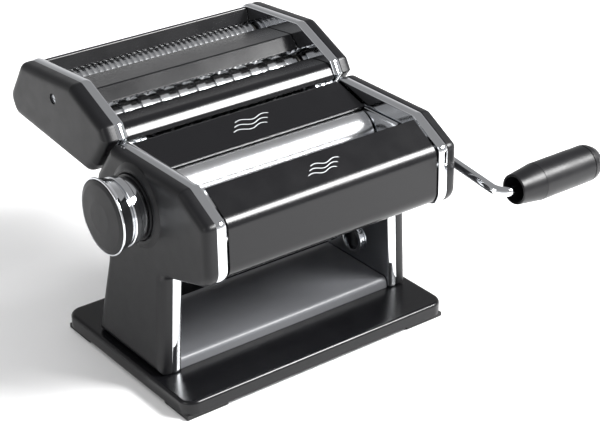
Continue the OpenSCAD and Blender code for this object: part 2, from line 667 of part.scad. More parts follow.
module cutter_cover_screws() {
  color("silver") each_side() {
    disc(cutter_frame_x + frame_t, cutter_cover_x - 2.3, screw_place[0], screw_place[1], 1.4, 32);
    difference() {
      disc(cutter_cover_x - 2.2, cutter_cover_x - 0.9, screw_place[0], screw_place[1], 3, 32);
      translate([cutter_cover_x - 1.5, screw_place[0], screw_place[1]]) rotate([20, 0, 0])
        block(0, 2, -4, 4, -0.4, 0.4);
    }
  }
}
cutter_panel_x = cutter_frame_x - 0.4;
module cutter_lip() {
  color("#1b1b1d") along_x(-cutter_panel_x, cutter_panel_x, sheet([
    [cut_y + 3.6, cut_z + 0.9, 0],
    [cut_y + 8, cut_z + 6.8, 4.5],
    [cut_y + 25, cut_z + 5.1, 1.4],
    [cut_y + 26.4, cut_z + 3.9, 0]], -panel_t));
}
module cutter_ridge() {
  color("#2b2b2d") along_x(-cutter_panel_x, cutter_panel_x, sheet([
    [cut_y + 38.6, cut_z + 6.9, 0],
    [cut_y + 45.9, cut_z + 14, 1.6],
    [cut_y + 71.4, cut_z + 11.1, 0]], -panel_t));
}
module cutter_rear_panel() {
  wall_y = fine_y + cutter_centres + 4.6;
  inner = inset(cutter_corners, 2.8);
  color("#262628") along_x(-cutter_panel_x, cutter_panel_x, sheet([
    [wall_y, fine_z + cutter_r - 0.6, 0],
    [wall_y, inner[4][1], 1.4],
    [inner[4][0], inner[4][1], 4],
    [inner[3][0], inner[3][1], 8],
    [inner[2][0], inner[2][1], 0]], -panel_t));
}
module cutter_bushes() {
  color("#c9b98a") each_side() for (p = pair_places()) turned(p[0], p[1], [
    [cutter_frame_x - 0.6, cutter_shaft_r + fit], [cutter_frame_x - 0.6, cutter_bush_r + 1],
    [cutter_frame_x, cutter_bush_r + 1], [cutter_frame_x, cutter_bush_r],
    [cutter_frame_x + frame_t + 0.6, cutter_bush_r],
    [cutter_frame_x + frame_t + 0.6, cutter_shaft_r + fit]], 48);
}
// Cutter roller: discs and grooves take turns along the shaft
cut_len = inner_w - 6;
groove_r = cutter_r - cutter_bite - 0.4;
function cutter_profile(width, shift, socket) =
  let (half = cut_len / 2, n = floor(half / (2 * width)), w = width / 2 - disc_play)
  concat([[-cutter_gear_x1, 0], [-cutter_gear_x1, cutter_shaft_r], [-half, cutter_shaft_r], [-half, groove_r]],
    [for (i = [-n:n]) let (x = 2 * width * i + (shift ? width : 0))
      if (x + w < half && x - w > -half) each [[x - w, groove_r], [x - w, cutter_r], [x + w, cutter_r], [x + w, groove_r]]],
    [[half, groove_r], [half, cutter_shaft_r],
     [socket ? socket_x : cutter_frame_x + 6, cutter_shaft_r], [socket ? socket_x : cutter_frame_x + 6, 0]]);
module cutter_roller(place, width, shift, socket) {
  color("#c4c6c9") difference() {
    turned(place[0], place[1], cutter_profile(width, shift, socket));
    if (socket) {
      disc(socket_x - socket_l, socket_x + 1, place[0], place[1], socket_r);
      translate([0, place[0], place[1]])
        block(socket_x - slot_l, socket_x + 1, -cutter_shaft_r - 1, cutter_shaft_r + 1, -slot_w / 2, slot_w / 2);
    }
  }
}
module wide_cutter_front() { cutter_roller(pair_places()[0], wide_cut, true, false); }
module wide_cutter_rear() { cutter_roller(pair_places()[1], wide_cut, false, true); }
module fine_cutter_front() { cutter_roller(pair_places()[2], fine_cut, false, false); }
module fine_cutter_rear() { cutter_roller(pair_places()[3], fine_cut, true, true); }

cutter_teeth = 12;
cutter_pitch_r = cutter_centres / 2;
cutter_module = 2 * cutter_pitch_r / cutter_teeth;
cutter_gear_x0 = cutter_frame_x + frame_t + 1.2;
cutter_gear_x1 = cutter_gear_x0 + 4;
module cutter_gear(place, phase) {
  color("#e4e2da") difference() {
    translate([0, place[0], place[1]]) along_x(-cutter_gear_x1, -cutter_gear_x0,
      gear_outline(cutter_teeth, cutter_pitch_r, cutter_pitch_r - 1.15 * cutter_module,
        cutter_pitch_r + 0.9 * cutter_module, 0.3, phase));
    disc(-cutter_gear_x1 - 1, -cutter_gear_x0 + 1, place[0], place[1], cutter_shaft_r);
  }
}
module wide_gear_front() { cutter_gear(pair_places()[0], 0); }
module wide_gear_rear() { cutter_gear(pair_places()[1], 15); }
module fine_gear_front() { cutter_gear(pair_places()[2], 0); }
module fine_gear_rear() { cutter_gear(pair_places()[3], 15); }

// Comb that strips one cutter roller: a bar with one finger in each groove
module comb(place, width, shift) {
  n = floor(cut_len / 4 / width);
  w = width / 2 - disc_play - 0.1;
  bar_z = place[1] - cutter_r - 1;
  tip_z = place[1] - groove_r - 0.3;
  xs = [for (i = [-n:n]) 2 * width * i + (shift ? 0 : width)];
  fingers = [for (x = xs) if (abs(x) + w < cut_len / 2 - 0.5) each [[x - w, bar_z], [x - w, tip_z], [x + w, tip_z], [x + w, bar_z]]];
  translate([0, place[0] + 0.6, 0]) rotate([90, 0, 0]) linear_extrude(height = 1.2)
    polygon(concat([[-cutter_panel_x, bar_z - 4], [-cutter_panel_x, bar_z]], fingers,
      [[cutter_panel_x, bar_z], [cutter_panel_x, bar_z - 4]]));
}
module wide_combs() {
  color("#bfc1c4") {
    comb(pair_places()[0], wide_cut, true);
    comb(pair_places()[1], wide_cut, false);
  }
}
module fine_combs() {
  color("#bfc1c4") {
    comb(pair_places()[2], fine_cut, false);
    comb(pair_places()[3], fine_cut, true);
  }
}

base_plate();
rubber_feet();
left_side_frame();
right_side_frame();
left_side_cover();
right_side_cover();
front_panel();
rear_panel();
floor_tray();
clamp_ring();
side_guides();
tie_rods();
tie_rod_screws();
base_screws();
front_scraper();
rear_scraper();
roller_bushes();
carrier_guides();
index_plate();
dock_rails();
front_roller();
front_gear();
crank_rod();
crank_pin();
handle_grip();
handle_cap();
adjuster_shaft();
adjuster_cams();
knob_screw();
knob_drum();
knob_cap();
index_pin();
knob_spring();
left_carrier();
right_carrier();
rear_roller();
rear_gear();
cutter_left_frame();
cutter_right_frame();
cutter_left_cover();
cutter_right_cover();
cutter_lip();
cutter_ridge();
cutter_rear_panel();
cutter_cover_screws();
cutter_bushes();
dock_channels();
wide_combs();
fine_combs();
wide_cutter_front();
wide_cutter_rear();
fine_cutter_front();
fine_cutter_rear();
wide_gear_front();
wide_gear_rear();
fine_gear_front();
fine_gear_rear();
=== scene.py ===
# %% [markdown]
# Pasta roller machine: the looks
#
# A manual kitchen machine: two smooth rollers in a black housing, a thickness knob on the
# left, a crank on the right, and a slide-on head with a wide and a fine pair of cutters.
# The CAD frame carries every moving part. This notebook builds the surfaces that are seen:
# soft moulded edges, folded sheet, plated strips and turned rollers.
# Sizes are in millimetres in the frame's axes, and become metres in one place.

# %% Frame and tools
import json
import math

import bmesh
import bpy
import numpy as np
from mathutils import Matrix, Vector
from mathutils.geometry import delaunay_2d_cdt


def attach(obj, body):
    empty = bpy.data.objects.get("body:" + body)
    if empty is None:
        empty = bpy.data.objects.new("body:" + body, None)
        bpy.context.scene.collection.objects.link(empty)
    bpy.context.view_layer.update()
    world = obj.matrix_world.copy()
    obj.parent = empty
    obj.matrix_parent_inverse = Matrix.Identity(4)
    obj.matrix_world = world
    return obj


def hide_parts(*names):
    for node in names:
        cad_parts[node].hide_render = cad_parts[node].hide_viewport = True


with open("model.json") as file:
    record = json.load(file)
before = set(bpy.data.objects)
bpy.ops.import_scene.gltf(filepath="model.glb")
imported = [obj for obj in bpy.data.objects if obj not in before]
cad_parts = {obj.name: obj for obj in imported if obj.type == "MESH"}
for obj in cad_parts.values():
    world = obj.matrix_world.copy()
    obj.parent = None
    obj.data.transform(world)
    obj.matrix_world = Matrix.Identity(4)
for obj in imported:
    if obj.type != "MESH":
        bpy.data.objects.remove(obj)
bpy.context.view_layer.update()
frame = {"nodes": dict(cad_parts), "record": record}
MM = 0.001
SLOT_OF = {p["node"]: p["material_slot"] for p in frame["record"]["subparts"]}
print("CAD nodes", len(frame["nodes"]))


# %% [markdown]
# ## Finishes
# Each finish is named for the real coating. Patterns are measured in millimetres.

# %% Material helpers
def linear(hex_colour):
    """A #rrggbb colour on a screen as the linear colour that a shader works in."""
    c = np.array([int(hex_colour[i:i + 2], 16) for i in (1, 3, 5)]) / 255
    return (*np.where(c <= 0.04045, c / 12.92, ((c + 0.055) / 1.055) ** 2.4), 1.0)


def add(tree, kind, links=(), **values):
    """Adds one shader node, sets its sockets by name and joins it to (socket, source) pairs."""
    made = tree.nodes.new(kind)
    for name, value in values.items():
        if hasattr(made, name):
            setattr(made, name, value)
        else:
            made.inputs[name.replace("_", " ")].default_value = value
    for name, source in links:
        tree.links.new(source, made.inputs[name])
    return made


def finish(name, colour, metallic, roughness, **values):
    """A Principled material with plain values on its own sockets."""
    m = bpy.data.materials.new(name)
    m.use_nodes = True
    shader = m.node_tree.nodes["Principled BSDF"]
    shader.inputs["Base Color"].default_value = linear(colour)
    shader.inputs["Metallic"].default_value = metallic
    shader.inputs["Roughness"].default_value = roughness
    for key, value in values.items():
        shader.inputs[key.replace("_", " ")].default_value = value
    return m, m.node_tree, shader


def grain(tree, size, detail=3.0, stretch=(1, 1, 1)):
    """Noise whose spots are about size millimetres across, in the object's own coordinates."""
    place = add(tree, "ShaderNodeTexCoord").outputs["Object"]
    scaled = add(tree, "ShaderNodeMapping", [("Vector", place)], Scale=[1 / (MM * size) / s for s in stretch])
    return add(tree, "ShaderNodeTexNoise", [("Vector", scaled.outputs[0])], Scale=1.0, Detail=detail)


def bump(tree, shader, source, height, strength=1.0):
    """Raises the surface by up to height millimetres where source is bright."""
    made = add(tree, "ShaderNodeBump", [("Height", source)], Strength=strength, Distance=height * MM)
    tree.links.new(made.outputs[0], shader.inputs["Normal"])


def vary(tree, source, socket, low, high):
    """Spreads a 0..1 pattern over a small range of a socket."""
    ramp = add(tree, "ShaderNodeMapRange", [("Value", source)])
    ramp.inputs["From Min"].default_value = 0.3
    ramp.inputs["From Max"].default_value = 0.7
    ramp.inputs["To Min"].default_value = low
    ramp.inputs["To Max"].default_value = high
    tree.links.new(ramp.outputs[0], socket)


# %% [markdown]
# Powder coat: the black sheets are sprayed and baked. The film flows into a very fine
# orange peel about half a millimetre across, which only shows as soft, slightly broken gloss.

# %% Black finishes
coat, t, s = finish("satin_black_powder_coat", "#0d0d0f", 0.0, 0.22, IOR=1.5, Specular_IOR_Level=0.3)
peel = grain(t, 0.7, 2.0)
bump(t, s, peel.outputs["Fac"], 0.012)
vary(t, grain(t, 14, 2.0).outputs["Fac"], s.inputs["Roughness"], 0.21, 0.26)

# Moulded ABS: the tool is spark-textured, so the skin has a finer and duller grain
moulded, t, s = finish("satin_black_moulding", "#101012", 0.0, 0.36, IOR=1.53, Specular_IOR_Level=0.24)
bump(t, s, grain(t, 0.35, 3.0).outputs["Fac"], 0.01)
vary(t, grain(t, 9, 2.0).outputs["Fac"], s.inputs["Roughness"], 0.32, 0.4)

# Inside of the tray: the same coat, but made duller and given a lighter grey colour, which is a painted reflection
# of the bright room in the glossy black floor of the tray
tray_painted_reflection_coat, t, s = finish("tray_coat_painted_reflection", "#626366", 0.0, 0.42, IOR=1.5, Specular_IOR_Level=0.5)
bump(t, s, grain(t, 0.7, 2.0).outputs["Fac"], 0.012)
vary(t, grain(t, 14, 2.0).outputs["Fac"], s.inputs["Roughness"], 0.38, 0.46)

# Rubber: matt and slightly grey where it is handled
rubber, t, s = finish("matt_rubber", "#141414", 0.0, 0.75, IOR=1.52)
bump(t, s, grain(t, 0.5, 4.0).outputs["Fac"], 0.03)


# %% [markdown]
# Metals. Chrome plate keeps the long waves of the polished sheet below it. The rollers are
# turned and anodised: the tool leaves rings round the axis, so the grain is short along X
# and long around, and the highlight spreads along the axis.

# %% Metal finishes
chrome, t, s = finish("polished_chrome", "#dcdee1", 1.0, 0.05)
bump(t, s, grain(t, 18, 1.0).outputs["Fac"], 0.05)
vary(t, grain(t, 6, 3.0).outputs["Fac"], s.inputs["Roughness"], 0.03, 0.08)

anodised, t, s = finish("turned_anodised_aluminium", "#d9dadc", 1.0, 0.2)
rings = grain(t, 0.25, 3.0, (1, 60, 60))
bump(t, s, rings.outputs["Fac"], 0.001)
vary(t, grain(t, 0.6, 2.0, (1, 40, 40)).outputs["Fac"], s.inputs["Roughness"], 0.19, 0.23)

zinc, t, s = finish("bright_zinc_plate", "#b9bcc0", 1.0, 0.3)
bump(t, s, grain(t, 0.8, 3.0).outputs["Fac"], 0.01)
bronze, t, s = finish("sintered_bush_metal", "#8f8c86", 1.0, 0.4)
bump(t, s, grain(t, 0.3, 4.0).outputs["Fac"], 0.02)
nylon, t, s = finish("natural_nylon", "#d8d3c4", 0.0, 0.45, IOR=1.53)
bump(t, s, grain(t, 0.6, 2.0).outputs["Fac"], 0.01)
print_ink, t, s = finish("grey_print", "#b4b6b8", 0.0, 0.4, IOR=1.5)
bump(t, s, grain(t, 0.3, 2.0).outputs["Fac"], 0.004)

BY_SLOT = {"black_coat": coat, "chrome": chrome, "anodised": anodised, "black_plastic": moulded,
           "rubber": rubber, "zinc_steel": zinc, "bronze": bronze, "gear_nylon": nylon}
print("finishes", len(BY_SLOT))


# %% [markdown]
# ## Carried-over CAD pieces
# Screws, rods, gears, combs and guides keep their CAD shape. A weld joins the faces that the
# file keeps apart, and a small bevel breaks each edge as tumbling or plating does.

# %% CAD nodes
def ease(o, width, segments=2, angle=35):
    """Breaks the sharp edges of a piece by width millimetres and keeps its flats flat."""
    for p in o.data.polygons:
        p.use_smooth = True
    weld = o.modifiers.new("weld", "WELD")
    weld.merge_threshold = 1e-6
    edge = o.modifiers.new("edge", "BEVEL")
    edge.width = width * MM
    edge.segments = segments
    edge.limit_method = "ANGLE"
    edge.angle_limit = math.radians(angle)
    edge.harden_normals = True


EASED = {"knob_spring": 0, "front_gear": 0.15, "rear_gear": 0.15, "wide_combs": 0.12, "fine_combs": 0.05}
for name, node in frame["nodes"].items():
    node.data.materials.clear()
    node.data.materials.append(BY_SLOT[SLOT_OF[name]])
    if EASED.get(name, 0.2):
        ease(node, EASED.get(name, 0.2))


# %% [markdown]
# ## Mesh tools
# Most outer pieces are an outline that changes a little as it goes along X, so one lofting
# function serves them all. Turned pieces are a profile swept round an axis.

# %% Outlines
def unit(v):
    return v / np.linalg.norm(v, axis=-1, keepdims=True)


def rounded(corners, steps=8, closed=True):
    """Points along an outline of [across, up, radius] corners. Each corner becomes an arc of
    steps + 1 points that touches both of its sides; an open path keeps its two ends."""
    c = np.array(corners, float)
    b, r = c[:, :2], c[:, 2:]
    if not closed:
        b, r = c[1:-1, :2], c[1:-1, 2:]
    before = np.roll(c, 1, 0)[:, :2] if closed else c[:-2, :2]
    after = np.roll(c, -1, 0)[:, :2] if closed else c[2:, :2]
    u, v = unit(before - b), unit(after - b)
    half = np.arccos(np.clip((u * v).sum(1, keepdims=True), -1, 1)) / 2
    mid = b + unit(u + v) * r / np.sin(half)
    p, q = b + u * r / np.tan(half) - mid, b + v * r / np.tan(half) - mid
    a0 = np.arctan2(p[:, 1], p[:, 0])
    turn = (np.arctan2(q[:, 1], q[:, 0]) - a0 + np.pi) % (2 * np.pi) - np.pi
    t = a0[:, None] + turn[:, None] * np.linspace(0, 1, steps + 1)
    arcs = mid[:, None] + r[:, None] * np.stack([np.cos(t), np.sin(t)], -1)
    points = arcs.reshape(-1, 2)
    return points if closed else np.vstack([c[:1, :2], points, c[-1:, :2]])


def inset(corners, d):
    """The same outline d further in: outer corners get tighter and inner corners wider."""
    c = np.array(corners, float)
    side = unit(np.roll(c, -1, 0)[:, :2] - c[:, :2])
    n = np.stack([-side[:, 1], side[:, 0]], -1)
    m = np.roll(n, 1, 0)
    p = c[:, :2] + d * (m + n) / (1 + (m * n).sum(1, keepdims=True))
    outer = (m[:, 0] * n[:, 1] - m[:, 1] * n[:, 0]) > 0
    r = np.where(outer, np.maximum(c[:, 2] - d, 0.15), c[:, 2] + d)
    return np.column_stack([p, r])


def sheet_corners(path, thick, end_r=0.3):
    """A bent sheet as a closed outline: the path, then the same path thick further to its right."""
    c = np.array(path, float)
    side = unit(np.diff(c[:, :2], axis=0))
    n = np.stack([side[:, 1], -side[:, 0]], -1)
    m, k = np.vstack([n[:1], n]), np.vstack([n, n[-1:]])
    p = c[:, :2] + thick * (m + k) / (1 + (m * k).sum(1, keepdims=True))
    turn = m[:, 0] * k[:, 1] - m[:, 1] * k[:, 0]
    r = np.where(turn < 0, np.maximum(c[:, 2] - thick, 0.3), c[:, 2] + thick)
    near, far = c.copy(), np.column_stack([p, r])
    near[[0, -1], 2] = far[[0, -1], 2] = end_r
    return np.vstack([far, near[::-1]])


# %% Solids
def piece(name, verts, faces, body, slot, stands_for=(), sharp=40):
    """A closed mesh of the object: placed at the origin, smooth except at edges over sharp degrees."""
    mesh = bpy.data.meshes.new(name)
    mesh.from_pydata((np.asarray(verts) * MM).tolist(), [], faces)
    work = bmesh.new()
    work.from_mesh(mesh)
    bmesh.ops.remove_doubles(work, verts=work.verts, dist=1e-7)
    bmesh.ops.recalc_face_normals(work, faces=work.faces)
    work.to_mesh(mesh)
    work.free()
    mesh.shade_smooth()
    mesh.set_sharp_from_angle(angle=math.radians(sharp))
    o = bpy.data.objects.new(name, mesh)
    bpy.context.scene.collection.objects.link(o)
    even = o.modifiers.new("even", "WEIGHTED_NORMAL")
    even.keep_sharp = True
    mesh.materials.append(BY_SLOT[slot])
    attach(o, body)
    if stands_for:
        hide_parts(*stands_for)
    return o


def strip(first, count, n):
    """Quads between count rings of n points, the first ring starting at vertex first."""
    k, i = np.meshgrid(np.arange(count - 1), np.arange(n), indexing="ij")
    a, b = first + k * n + i, first + k * n + (i + 1) % n
    return np.stack([a, b, b + n, a + n], -1).reshape(-1, 4).tolist()


def circle(y, z, r, n=48):
    a = np.linspace(0, 2 * np.pi, n, endpoint=False)
    return np.stack([y + r * np.cos(a), z + r * np.sin(a)], -1)


def slot_hole(y0, z0, y1, z1, r, n=24):
    """A long hole: half circles round two centres."""
    a0 = math.atan2(z1 - z0, y1 - y0)
    a = a0 + np.pi / 2 + np.linspace(0, np.pi, n)
    first = np.stack([y0 + r * np.cos(a), z0 + r * np.sin(a)], -1)
    return np.vstack([first, np.stack([y1 - r * np.cos(a), z1 - r * np.sin(a)], -1)])


def flat(outline, holes, offset):
    """Triangles that fill an outline around its holes; offset is the first vertex of each loop."""
    loops = [outline, *holes]
    points = np.vstack(loops)
    starts = np.cumsum([0] + [len(loop) for loop in loops])
    edges = [(int(s + i), int(s + (i + 1) % len(loop)))
             for s, loop in zip(starts, loops) for i in range(len(loop))]
    out = delaunay_2d_cdt([Vector(p) for p in points], edges, [], 1, 1e-7)
    where = np.array([ids[0] if ids else -1 for ids in out[3]])
    index = np.concatenate([first + np.arange(len(loop)) for first, loop in zip(offset, loops)])
    tris = np.array(out[2])
    centre = points[where[tris]].mean(1)
    keep = np.ones(len(tris), bool)
    for loop in holes:
        mid = loop.mean(0)
        nxt = np.roll(loop, -1, 0)
        cross = ((nxt[:, 0] - loop[:, 0]) * (centre[:, None, 1] - loop[:, 1])
                 - (nxt[:, 1] - loop[:, 1]) * (centre[:, None, 0] - loop[:, 0]))
        keep &= ~((cross > 0).all(1) | (cross < 0).all(1))
    return index[where[tris[keep]]].tolist()


def loft(corners, layers, holes=(), side=1, shape=None, steps=8):
    """Vertices and faces of a solid along X. Each layer is (x, inset); the ends are flat and
    holes pass straight through. side -1 mirrors it, and shape may move the points."""
    rings = [rounded(inset(corners, d) if d else corners, steps) for _, d in layers]
    n = len(rings[0])
    verts = [np.column_stack([np.full(n, x), ring]) for (x, _), ring in zip(layers, rings)]
    faces = strip(0, len(layers), n)
    total = n * len(layers)
    starts = [[0], [total - n]]
    for hole in holes:
        m = len(hole)
        verts += [np.column_stack([np.full(m, layers[end][0]), hole]) for end in (0, -1)]
        faces += strip(total, 2, m)
        starts[0].append(total)
        starts[1].append(total + m)
        total += 2 * m
    faces += flat(rings[0], holes, starts[0]) + flat(rings[-1], holes, starts[1])
    verts = np.vstack(verts)
    if shape:
        verts = shape(verts)
    verts[:, 0] *= side
    return verts, faces


def round_over(x1, r, steps=10, full=2.6):
    """Layers of an edge that rolls over from the wall into the face at x1, r wide. A full of 2 is
    a quarter circle, and more keeps the corner fuller, as a moulded cover has it."""
    t = np.linspace(0, np.pi / 2, steps + 1)
    return [(x1 - r * (1 - math.sin(a) ** (2 / full)), r * (1 - max(math.cos(a), 0) ** (2 / full)))
            for a in t]


def turned(profile, y, z, n=96):
    """Vertices and faces of a profile of [x, radius] points turned about the X axis. A profile
    that starts and ends on the axis is closed by flat ends, and any other one is a ring."""
    p = np.array(profile, float)
    solid = p[0, 1] == 0
    p = p[1:-1] if solid else p
    a = np.linspace(0, 2 * np.pi, n, endpoint=False)
    ring = np.stack([np.cos(a), np.sin(a)], -1)
    verts = np.concatenate([np.broadcast_to(p[:, None, :1], (len(p), n, 1)), p[:, None, 1:] * ring[None]], -1)
    verts = verts.reshape(-1, 3) + [0, y, z]
    faces = strip(0, len(p), n)
    if solid:
        faces += [list(range(n)), list(range((len(p) - 1) * n, len(p) * n))]
    else:
        i = np.arange(n)
        j, top = (i + 1) % n, (len(p) - 1) * n
        faces += np.stack([top + i, top + j, j, i], -1).tolist()
    return verts, faces


def soft_profile(points, steps=4):
    """A turned profile whose corners are [x, radius, rounding]; its two ends stay as they are."""
    return rounded(points, steps, closed=False)


print("tools ready")


# %% [markdown]
# ## Housing
# The two sides are folded chrome channels with a black moulded cover outside. Towards the
# base each leg leans outwards by about three millimetres, so the machine stands broader than
# its rollers.

# %% Main sizes
FRAME_X, FLANGE_X, COVER_X = 74.0, 80.3, 88.0
BASE_TOP, ROLLER_Z, KNOB_Y = 11.5, 110.5, -10.5
LEG_FRONT, LEG_REAR = -33.6, 35.4
TILT = math.radians(7.3)
FRONT = (KNOB_Y - 32.7 * math.cos(TILT), ROLLER_Z - 32.7 * math.sin(TILT))
REAR = (KNOB_Y + 2.1 * math.cos(TILT), ROLLER_Z + 2.1 * math.sin(TILT))
HEAD_FRONT = FRONT[0] - 35.6
HEAD_TOP = ROLLER_Z + 26.1
BODY = [[LEG_FRONT, BASE_TOP, 1.5], [LEG_REAR, BASE_TOP, 1.5], [24, ROLLER_Z - 44.5, 22],
        [32.5, HEAD_TOP - 22.7, 7], [15.6, HEAD_TOP - 0.2, 3], [HEAD_FRONT + 25.3, HEAD_TOP, 4],
        [HEAD_FRONT + 1, HEAD_TOP - 13.3, 5], [HEAD_FRONT, ROLLER_Z - 23, 11],
        [LEG_FRONT, ROLLER_Z - 36, 4]]
FLARE = 2.9


def lean(v):
    """Moves the legs outwards: nothing above z 74, then smoothly up to FLARE at the base."""
    t = np.clip((74 - v[:, 2]) / 62, 0, 1)
    out = v.copy()
    out[:, 0] += FLARE * t * t * (1.6 - 0.6 * t)
    return out


def lean_both(v):
    """The same lean for a sheet that reaches from one leg to the other."""
    out = v.copy()
    out[:, 0] += np.sign(v[:, 0]) * (lean(v)[:, 0] - v[:, 0])
    return out


RODS = [(HEAD_FRONT + 13, ROLLER_Z + 4), (22, ROLLER_Z - 4), (5, ROLLER_Z - 47)]
JOURNAL_SLOT = slot_hole(KNOB_Y - 2.1 * math.cos(TILT), ROLLER_Z - 2.1 * math.sin(TILT), *REAR, 9.6)


def channel(x0, x1, wall, fold=1.0, crown=0.45):
    """Layers of a folded channel: rounded fold, crowned flange, its edge, then back in to the web."""
    start = [(x0 + fold * (1 - math.cos(a)), crown + fold * (1 - math.sin(a)))
             for a in np.linspace(0, 1.1, 6)]
    first = start[-1][0]
    t = np.linspace(0, 1, 11)[1:]
    over = [(first + (x1 - 0.2 - first) * k, (crown + fold * (1 - math.sin(1.1))) * (1 - 2 * k) ** 2)
            for k in t]
    return start + over + [(x1, over[-1][1] + 0.25), (x1, wall), (x0 + wall, wall)]


# %% Chrome side frames
for left in (True, False):
    holes = [circle(*FRONT, 9), JOURNAL_SLOT] + [circle(y, z, 2.1, 24) for y, z in RODS]
    if not left:
        holes.append(circle(0, BASE_TOP + 22.5, 9))
    side = -1 if left else 1
    name = ("left" if left else "right") + "_side_frame"
    verts, faces = loft(BODY, channel(FRAME_X, FLANGE_X, 1.2), holes, side, lean)
    piece("plated_" + name, verts, faces, "body", "chrome", [name])

# %% [markdown]
# The covers are injection mouldings: a flat face with a wide rolled edge, which a die-cut sheet
# could not have. The left one has a round raised seat for the knob.

# %% Side covers
COVER = inset(BODY, 0.4)
COVER_LAYERS = [(FLANGE_X + 0.02, 0.35), (FLANGE_X + 0.12, 0.1),
                (FLANGE_X + 0.4, 0)] + round_over(COVER_X, 6.0)


verts, faces = loft(COVER, COVER_LAYERS, [circle(KNOB_Y, ROLLER_Z, 4.5)], -1, lean)
piece("moulded_left_side_cover", verts, faces, "body", "black_plastic", ["left_side_cover"])
verts, faces = loft(COVER, COVER_LAYERS, [circle(*FRONT, 6.6)], 1, lean)
piece("moulded_right_side_cover", verts, faces, "body", "black_plastic", ["right_side_cover"])
seat = soft_profile([[-COVER_X + 0.5, 4.6, 0], [-COVER_X + 0.5, 25, 0.1],
                     [-COVER_X - 1.6, 21.4, 3.0], [-COVER_X - 1.6, 19.6, 0.3],
                     [-COVER_X - 0.2, 19.2, 0.3], [-COVER_X - 0.2, 4.6, 0]], 6)
verts, faces = turned(seat, KNOB_Y, ROLLER_Z)
piece("knob_seat", verts, faces, "body", "black_plastic")

# %% [markdown]
# Base: one sheet drawn down all round, with a soft shoulder along the top edge.

# %% Base plate
BASE = [[-95, -65, 9], [95, -65, 9], [95, 65, 9], [-95, 65, 9]]


def drawn_plate(corners, z0, z1, r, wall):
    """A tray upside down: outer wall, soft shoulder, flat top, and the same inside."""
    up = [(z0 + 0.3 * (1 - math.cos(a)), 0.3 * (1 - math.sin(a))) for a in np.linspace(0, np.pi / 2, 4)]
    over = [(z1 - r + r * math.sin(a), r * (1 - math.cos(a))) for a in np.linspace(0, np.pi / 2, 9)]
    inner = [(z1 - wall, r + 0.5), (z1 - wall - 0.6, wall + 0.3), (z1 - wall - 1.5, wall), (z0, wall)]
    rings = [rounded(inset(corners, d) if d else corners, 10) for _, d in up + over]
    back = [rounded(inset(corners, d), 10) for _, d in inner]
    n = len(rings[0])
    heights = [z for z, _ in up + over]
    verts = [np.column_stack([ring, np.full(n, z)]) for z, ring in zip(heights, rings)]
    verts += [np.column_stack([ring, np.full(n, z)]) for (z, _), ring in zip(inner, back)]
    k = len(heights)
    faces = strip(0, k, n) + strip(k * n, len(inner), n)
    i = np.arange(n)
    j, last = (i + 1) % n, (k + len(inner) - 1) * n
    faces += np.stack([i, j, last + j, last + i], -1).tolist()
    faces += [list(range((k - 1) * n, k * n)), list(range(k * n, (k + 1) * n))]
    return np.vstack(verts), faces


verts, faces = drawn_plate(BASE, 3.0, BASE_TOP, 2.2, 1.6)
piece("pressed_base_plate", verts, faces, "body", "black_coat", ["base_plate"])

# %% [markdown]
# Feet: four rubber pads that stand out a little below the rim of the base at its corners.

# %% Rubber feet
verts, faces = [], []
for sx in (-1, 1):
    for sy in (-1, 1):
        y = sorted([sy * 40.0, sy * 63.6])
        pad = [[y[0], 0, 0.8], [y[1], 0, 0.8], [y[1], 2.98, 0.3], [y[0], 2.98, 0.3]]
        v, f = loft(pad, [(66, 0.25), (66.4, 0), (93.2, 0), (93.6, 0.25)], side=sx)
        first = sum(len(k) for k in verts)
        verts.append(v)
        faces += [[first + i for i in face] for face in f]
piece("rubber_corner_feet", np.vstack(verts), faces, "body", "rubber", ["rubber_feet"])

# %% [markdown]
# Panels: black sheet folded on a press brake. Each fold keeps a round outer edge that takes
# a long highlight.

# %% Folded panels
PANEL_X = 72.6


def ends(x, r=0.25):
    """Layers of a sheet from one end to the other with its cut ends eased."""
    a = np.linspace(0, np.pi / 2, 4)
    ease_in = [(-x + r * (1 - math.cos(k)), r * (1 - math.sin(k))) for k in a]
    return ease_in + [(-px, d) for px, d in reversed(ease_in)]


def panel(name, path, thick, half, body, stands_for, steps=8, shape=None):
    verts, faces = loft(sheet_corners(path, thick), ends(half), steps=steps, shape=shape)
    return piece(name, verts, faces, body, "black_coat", [stands_for])


head = inset(BODY, 1)
panel("folded_front_panel", [
    [HEAD_FRONT + 14.8, 85.6, 0], list(head[7]),
    [head[6][0], head[6][1] - 0.8, 10], [HEAD_FRONT + 22.8, HEAD_TOP - 1.9, 0]],
    1.2, PANEL_X, "body", "front_panel", 10)
panel("folded_rear_panel", [
    [REAR[0] - 3, ROLLER_Z + 17, 0], [15.0, HEAD_TOP - 1.5, 2.5], [30.92, HEAD_TOP - 22.7, 6],
    [23, ROLLER_Z - 44.5, 20], [26, 19.9, 0]], 1.2, PANEL_X, "body", "rear_panel", shape=lean_both)
tray = panel("folded_floor_tray", [[LEG_FRONT + 2, BASE_TOP, 0], [LEG_FRONT + 2.4, 18.5, 3.2],
                                   [29, 18.5, 1.6], [29, BASE_TOP, 0]],
             1.2, FRAME_X - 0.4, "body", "floor_tray", shape=lean_both)
# The tray gets the lighter grey coat, whose colour is a painted reflection
tray.data.materials[0] = tray_painted_reflection_coat

# %% [markdown]
# Rollers: drawn aluminium, turned between centres and anodised, with a small chamfer at each
# end. The front one carries the crank's socket, and the rear one is hollow for the knob's shaft.

